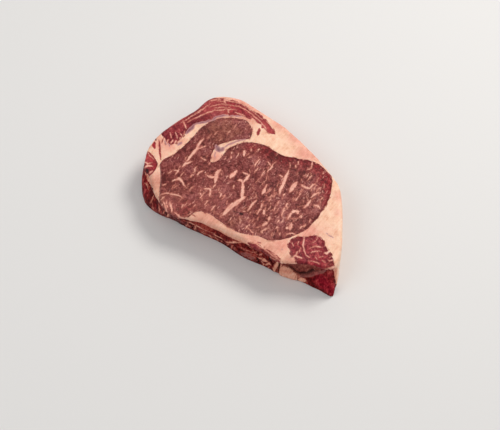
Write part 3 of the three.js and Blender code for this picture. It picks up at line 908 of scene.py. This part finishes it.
def covered(distances, soft=0.45):
    """1 inside a line or patch and 0 outside it, with a soft edge."""
    return 1 - smooth(-soft, soft, distances)


def tissue(points, node):
    """What the points of a piece are made of, layer by layer.

    fat is a signed distance in millimetres, above zero in fat, and the rest are shares from 0 to 1.
    Streaks run down through the steak and drift on the way, so the lower face has a like pattern.
    """
    x, y, z = points.T
    seen = points[:, :2]
    depth = upper_height(x, y) - z
    s, inset = side_place(points)
    flat = np.column_stack([s, z])
    upper = 1 - smooth(1.8, 3.4, depth)
    front = (1 - upper) * (1 - smooth(3.5, 5.5, inset)) * front_share(s)
    rest = 1 - front
    drift = 6 * np.stack([noise(points, 16, 91), noise(points, 16, 92)], 1)
    plan = frayed(seen + smooth(2, 16, depth)[:, None] * drift, (2.2, 2.2, 1), 0.35, 93)

    edge, loose = muscle_edge(seen)
    border = edge + (0.6 + 0.7 * loose) * noise(points, (2.4, 2.4, 5), 97)
    border = border + 0.25 * noise(points, (1.2, 1.2, 3), 98)
    streak = line_distance(plan, MARBLING) - 0.2
    streak = np.minimum(streak, line_distance(plan, short_streaks(SHORT_STREAKS, 29)))
    fat = np.maximum(-streak, border - 0.5)
    if node == "fat":
        patch = patch_distance(plan, RAGGED_PATCH) + 0.9 * noise(points, (2.4, 1.6, 3), 95)
        lean = np.minimum(line_distance(plan, LEAN_ISLANDS), patch)
        fat = np.maximum(np.minimum(lean, border + 0.5), -streak)

    def drawn(on_face, on_side, face_soft=0.45, side_soft=0.45):
        """Lines on the upper face and lines on the side, each where that surface shows."""
        face = covered(line_distance(plan, on_face), face_soft)
        side = covered(line_distance(flat, on_side), side_soft)
        return np.maximum(upper * face, front * side)

    tanned = 0.8 * covered(line_distance(plan, TANNED_STRANDS), 0.6)
    cap_side = smooth(5, 0.5, inset) * smooth(255, 270, s)
    blush = np.maximum(spots(seen, BLUSH), 0.55 * cap_side)
    return {
        "fat": fat + front * (side_tissue(flat) - fat),
        "skin": drawn(UPPER_SKIN, SIDE_SKIN, 1.8, 1.2),
        # gap: where cracks lie, painted near black as shade
        "gap": drawn(UPPER_GAPS, SIDE_GAPS),
        "hollow": front * covered(patch_distance(flat, HOLLOW), 0.8),
        "crimson": np.maximum(spots(seen, CRIMSON) * rest, spots(flat, SIDE_CRIMSON) * front),
        "brown": np.maximum(spots(plan, BROWNING), tanned) * upper,
        "blush": np.maximum(blush, 0.4 * covered(edge, 1.6)),
        # deep marks the front and left side, where lean and fat get darker tones: partly the cut side's
        # own darker, drier meat, partly painted shade, as that side faces away from the key lamp
        "deep": front,
        "edge": smooth(2.2, 0, np.abs(edge)) * rest,
        "flecked": spots(seen, FLECKED) * rest,
        "pale": spots(seen, PALE) * rest,
    }


def paint(piece, node):
    """Stores the tissue layers on the points of a piece."""
    mesh = piece.data
    points = np.empty(len(mesh.vertices) * 3, np.float32)
    mesh.vertices.foreach_get("co", points)
    for name, values in tissue(points.reshape(-1, 3).astype(float) / MM, node).items():
        layer = mesh.attributes.new(name, "FLOAT", "POINT")
        layer.data.foreach_set("value", values.astype(np.float32))


def shade(red, green, blue):
    """A screen colour, 0 to 255, as the light amounts that a shader takes."""
    return *(((c / 255 + 0.055) / 1.055) ** 2.4 for c in (red, green, blue)), 1.0


class Finish:
    """Short hand for one material: each method adds a node and gives back its output."""

    def __init__(self, name):
        self.material = bpy.data.materials.new(name)
        self.material.use_nodes = True
        self.tree = self.material.node_tree
        self.shader = self.tree.nodes["Principled BSDF"]
        self.place = self.tree.nodes.new("ShaderNodeTexCoord").outputs["Object"]

    def add(self, kind, inputs, **settings):
        node = self.tree.nodes.new("ShaderNode" + kind)
        for name, value in settings.items():
            setattr(node, name, value)
        for key, value in inputs.items():
            self.put(node.inputs[key], value)
        return node

    def put(self, socket, value):
        if isinstance(value, bpy.types.NodeSocket):
            self.tree.links.new(value, socket)
        else:
            socket.default_value = value

    def layer(self, name):
        return self.add("Attribute", {}, attribute_name=name).outputs["Fac"]

    def sized(self, across, along, down, turn):
        """Object coordinates counted in grains of a size in millimetres, turned about the upright."""
        scale = [1 / (size * MM) for size in (across, along, down)]
        turned = self.add("Mapping", {"Vector": self.place, "Rotation": (0, 0, math.radians(-turn))})
        return self.add("Mapping", {"Vector": turned.outputs[0], "Scale": scale}).outputs[0]

    def noise(self, across, along=None, down=None, turn=0, detail=2.0, warp=0.0):
        place = self.sized(across, along or across, down or across, turn)
        inputs = {"Vector": place, "Scale": 1.0, "Detail": detail, "Roughness": 0.55, "Distortion": warp}
        return self.add("TexNoise", inputs).outputs[0]

    def cells(self, across, down):
        place = self.sized(across, across, down, 0)
        return self.add("TexVoronoi", {"Vector": place, "Scale": 1.0}).outputs["Color"]

    def math(self, operation, a, b):
        return self.add("Math", {0: a, 1: b}, operation=operation).outputs[0]

    def share(self, name, times):
        """A layer times a number."""
        return self.math("MULTIPLY", self.layer(name), times)

    def less(self, start, name, times=1.0):
        """A number, less a layer times another number."""
        return self.math("SUBTRACT", start, self.share(name, times))

    def weighed(self, *parts):
        """The sum of several outputs, each times its weight."""
        total = 0.0
        for output, weight in parts:
            inputs = {0: output, 1: weight, 2: total}
            total = self.add("Math", inputs, operation="MULTIPLY_ADD").outputs[0]
        return total

    def step(self, value, low, high, to=1.0):
        """0 up to low, rising in an S to its full value at high."""
        inputs = {"Value": value, "From Min": low, "From Max": high, "To Max": to}
        return self.add("MapRange", inputs, interpolation_type="SMOOTHSTEP").outputs[0]

    def blend(self, share, a, b):
        return self.add("Mix", {0: share, 6: a, 7: b}, data_type="RGBA").outputs[2]

    def ramp(self, value, low, high, *tones):
        """A colour from a row of tones spread evenly between two values."""
        node = self.add("ValToRGB", {0: value})
        stops = node.color_ramp.elements
        while len(stops) < len(tones):
            stops.new(0.5)
        for k, tone in enumerate(tones):
            stops[k].position = low + (high - low) * k / (len(tones) - 1)
        for k, tone in enumerate(tones):
            stops[k].color = shade(*tone)
        return node.outputs[0]


LEAN_SPAN = (0.63, 0.87)  # where the lean's tones begin and end
FAT_SPAN = (0.5, 0.76)  # and the fat's


def meat(name, tones, fleck_share, glow, uneven):
    """Raw meat: lean in bundles of fibre, flecked and streaked with fat, with its skins and gaps.

    fleck_share is how strong the flecks are, glow how deep light goes in, and uneven how ragged the
    fat's edges are. The layers on the points say what lies where.
    """
    look = Finish(name)
    broad = look.noise(17)
    soft = look.noise(6, detail=3)
    mottle = look.noise(2.7, 2.7, 9, detail=3, warp=0.6)
    grain = look.noise(1.15, 1.15, 5)
    fine = look.noise(0.5, 0.5, 2.2, detail=3)
    strand = look.noise(1.1, 10, 10, turn=-38, warp=0.3)
    fibres = look.cells(1.5, 14)
    tint = look.weighed((fibres, 0.1), (broad, 0.35), (mottle, 0.55), (grain, 0.35), (fine, 0.15))
    deep = look.layer("deep")

    browned = look.weighed((look.layer("brown"), 1.0), (soft, 1.2), (mottle, 0.3))
    reddened = look.weighed((look.layer("crimson"), 1.0), (mottle, 0.5))
    patches = {
        "brown": look.step(browned, 0.8, 1.7),
        "mauve": look.step(broad, 0.5, 0.66, 0.7),
        # on the front side the lean takes the deep tones: partly its own darker meat, partly painted shade
        "deep": deep,
        "crimson": look.step(reddened, 0.3, 1.2),
    }
    lean = look.ramp(tint, *LEAN_SPAN, *tones["lean"])
    for kind, share in patches.items():
        lean = look.blend(share, lean, look.ramp(tint, *LEAN_SPAN, *tones[kind]))
    near_fat = look.weighed((look.layer("fat"), 1.0), (grain, 0.8), (look.layer("edge"), -2.0))
    washes = {
        "edge": look.share("edge", 0.4),
        "pale": look.share("pale", 0.4),
        "halo": look.step(near_fat, -0.8, 0.5, 0.32),
    }
    for kind, share in washes.items():
        lean = look.blend(share, lean, shade(*tones[kind]))

    dashes = look.noise(1.7, 6.0, 26, turn=-30, detail=1, warp=0.4)
    crumbs = look.noise(1.6, 2.6, 18, turn=-22, detail=1, warp=0.3)
    more = look.layer("flecked")
    marks = []
    for mark, low, high, most in ((dashes, 0.81, 0.94, 1.0), (crumbs, 0.82, 0.96, 0.7)):
        strength = look.weighed((mark, 1.0), (broad, 0.2), (grain, 0.1), (more, 0.06))
        marks.append(look.step(strength, low, high, most * fleck_share))
    flecks = look.math("MULTIPLY", look.math("MAXIMUM", *marks), look.less(1.0, "deep"))
    lean = look.blend(flecks, lean, look.ramp(grain, 0.35, 0.65, *tones["fleck"]))

    core = look.step(look.layer("fat"), 0.0, 0.6)
    cream = ((soft, 0.35), (mottle, 0.2), (strand, 0.25), (grain, 0.12), (fine, 0.08), (core, 0.14))
    cream = look.weighed(*cream)
    pink = look.weighed((look.layer("blush"), 1.0), (soft, 0.5), (strand, 0.5))
    fat = look.ramp(cream, *FAT_SPAN, *tones["fat"])
    # on the front side the fat takes darker, pinker tones: partly its own tone, partly painted shade
    for kind, share in {"blush": look.step(pink, 0.5, 1.4), "rind_and_shade": deep}.items():
        fat = look.blend(share, fat, look.ramp(cream, *FAT_SPAN, *tones[kind]))
    membrane = look.ramp(cream, 0.45, 0.8, *tones["membrane"])
    fat = look.blend(look.share("brown", 0.75), fat, membrane)
    reach = look.math("MULTIPLY", look.layer("fat"), look.less(1.0, "deep", 0.4))
    ragged = look.weighed((fine, 0.5 * uneven), (grain, 1.1 * uneven), (reach, 1.0))
    fatty = look.step(ragged, 0.8 * uneven - 0.4, 0.8 * uneven + 0.4)
    colour = look.blend(fatty, lean, fat)

    skin = look.weighed((look.layer("skin"), 0.6), (mottle, 0.3), (strand, 0.25))
    skins = look.blend(look.share("deep", 0.6), look.ramp(skin, 0.4, 0.9, *tones["skin"]), membrane)
    over = look.math("MULTIPLY", look.step(skin, 0.38, 0.6), look.less(0.88, "deep", 0.4))
    colour = look.blend(over, colour, skins)
    sunken = look.ramp(tint, *LEAN_SPAN, *tones["hollow"])
    colour = look.blend(look.share("hollow", 0.9), colour, sunken)
    # cracks take a near-black tone: painted shade
    colour = look.blend(look.share("gap", 0.85), colour, shade(*tones["gap"]))

    wet = look.weighed((mottle, -0.22), (broad, -0.12), (fatty, 0.06))
    height = look.weighed(
        (mottle, 0.10), (grain, 0.08), (fine, 0.05), (flecks, 0.05),
        (fatty, 0.10), (strand, 0.1), (soft, 0.1),
    )
    sockets = {
        "Base Color": colour,
        "Roughness": look.math("ADD", wet, 0.6),
        "Specular IOR Level": look.less(0.2, "deep", 0.17),
        "Normal": look.add("Bump", {"Height": height, "Distance": MM, "Strength": 1.0}).outputs[0],
        "Subsurface Weight": glow,
        "Subsurface Radius": (1.0, 0.45, 0.35),
        "Subsurface Scale": 1.2 * MM,
    }
    for socket, value in sockets.items():
        look.put(look.shader.inputs[socket], value)
    return look.material


COMMON_TONES = {
    "blush": [(200, 122, 104), (220, 146, 128), (232, 166, 146), (240, 182, 161)],
    # fat of the front side, darker and pinker than the upper face: partly its own tone, partly painted
    # shade
    "rind_and_shade": [(184, 104, 86), (220, 150, 126), (240, 182, 158)],
    "skin": [(218, 166, 156), (170, 116, 121), (102, 62, 81)],
    "membrane": [(158, 96, 81), (189, 126, 105), (214, 164, 137)],
    "pale": (200, 92, 88),
    "halo": (162, 62, 60),
    # tone of cracks and clefts: painted shade
    "gap": (36, 8, 8),
    "hollow": [(118, 50, 44), (152, 78, 70), (180, 108, 94)],
    # lean of the front side: partly its own darker, drier meat, partly painted shade
    "deep": [(66, 4, 7), (95, 14, 14), (122, 30, 27), (160, 66, 54)],
}
FAT_TONES = [(222, 162, 134), (236, 186, 157), (244, 203, 175), (248, 215, 192)]
STREAK_TONES = [(190, 112, 98), (230, 172, 154), (246, 202, 184)]
EYE_TONES = COMMON_TONES | {
    "fat": STREAK_TONES,
    "lean": [(82, 25, 23), (112, 44, 41), (133, 64, 60), (160, 91, 83)],
    "brown": [(88, 36, 28), (118, 58, 46), (140, 78, 63), (158, 98, 80)],
    "crimson": [(88, 8, 14), (120, 18, 25), (145, 35, 40), (168, 68, 66)],
    "mauve": [(78, 25, 30), (108, 43, 47), (130, 63, 64), (160, 94, 89)],
    "pale": (206, 124, 114),
    "halo": (162, 88, 68),
    "edge": (98, 24, 28),
    "fleck": [(190, 118, 104), (226, 166, 148)],
}
RED_TONES = COMMON_TONES | {
    "fat": STREAK_TONES,
    "lean": [(92, 10, 22), (120, 29, 38), (145, 49, 54), (178, 86, 82)],
    "brown": [(96, 36, 28), (126, 58, 44), (150, 82, 62)],
    "crimson": [(112, 8, 24), (144, 22, 39), (167, 42, 52), (192, 76, 78)],
    "mauve": [(84, 12, 30), (111, 30, 46), (136, 50, 62), (170, 86, 90)],
    "edge": (112, 22, 30),
    "fleck": [(186, 102, 92), (214, 144, 130)],
}


def plain(name, colour, roughness):
    material = bpy.data.materials.new(name)
    material.use_nodes = True
    shader = material.node_tree.nodes["Principled BSDF"]
    shader.inputs["Base Color"].default_value = (*colour, 1)
    shader.inputs["Roughness"].default_value = roughness
    return material


def camera():
    """The view of the steak: from the front, high up, with a long lens."""
    data = bpy.data.cameras.new("camera")
    data.lens, data.sensor_width = LENS, SENSOR
    eye = placed("camera", data)
    x, y, reach = AIM[0] * MM, AIM[1] * MM, REACH * MM
    eye.location = (x, y - reach * math.cos(TILT), reach * math.sin(TILT))
    eye.rotation_euler = (math.pi / 2 - TILT, 0, 0)
    bpy.context.scene.camera = eye


def floor():
    bpy.ops.mesh.primitive_plane_add(size=3, location=(0, 0, 0))
    plane = bpy.context.object
    plane.name = "floor"
    plane.data.materials.append(plain("pale_floor", (0.72, 0.71, 0.70), 0.8))


def lamp(name, place, size, power, colour):
    """A round lamp, turned to the middle of the steak's foot."""
    data = bpy.data.lights.new(name, "AREA")
    data.shape, data.size, data.energy, data.color = "DISK", size, power, colour
    obj = placed(name, data)
    obj.location = place
    obj.rotation_euler = (-Vector(place)).to_track_quat("-Z", "Y").to_euler()


def light():
    world = bpy.data.worlds.new("studio")
    world.use_nodes = True
    sky = world.node_tree.nodes["Background"].inputs
    sky["Color"].default_value = (1, 1, 1, 1)
    sky["Strength"].default_value = 0.55
    bpy.context.scene.world = world
    lamp("key", (0.6, 0.55, 1.0), 0.5, 9, (1, 0.97, 0.93))
    lamp("fill", (-0.7, -0.2, 1.1), 0.8, 3, (1, 1, 1))
    bpy.context.scene.view_settings.view_transform = "Standard"


RED_PIECES = ("cap_muscle", "tail_muscle", "side_meat", "rib_meat")


def looks():
    """The slot and the material of each piece."""
    fat = ("fat", meat("beef_fat", RED_TONES | {"fat": FAT_TONES}, 0.5, 0.2, 0.5))
    eye = ("lean", meat("browned_lean", EYE_TONES, 0.85, 0.1, 1.6))
    red = ("red_lean", meat("red_lean", RED_TONES, 0.35, 0.1, 1.2))
    return {"fat": fat, "eye_muscle": eye} | dict.fromkeys(RED_PIECES, red)


def finish(pieces):
    """Gives each piece its tissue and its material, and puts it in the place of its plain solid."""
    dress = looks()
    for name, piece in pieces.items():
        slot, material = dress[name]
        paint(piece, name)
        piece.data.materials.clear()
        piece.data.materials.append(material)
        piece.data.set_sharp_from_angle(angle=math.radians(50))
        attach(piece, "root")
        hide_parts(name)


finish(cut_steak())
camera()
floor()
light()
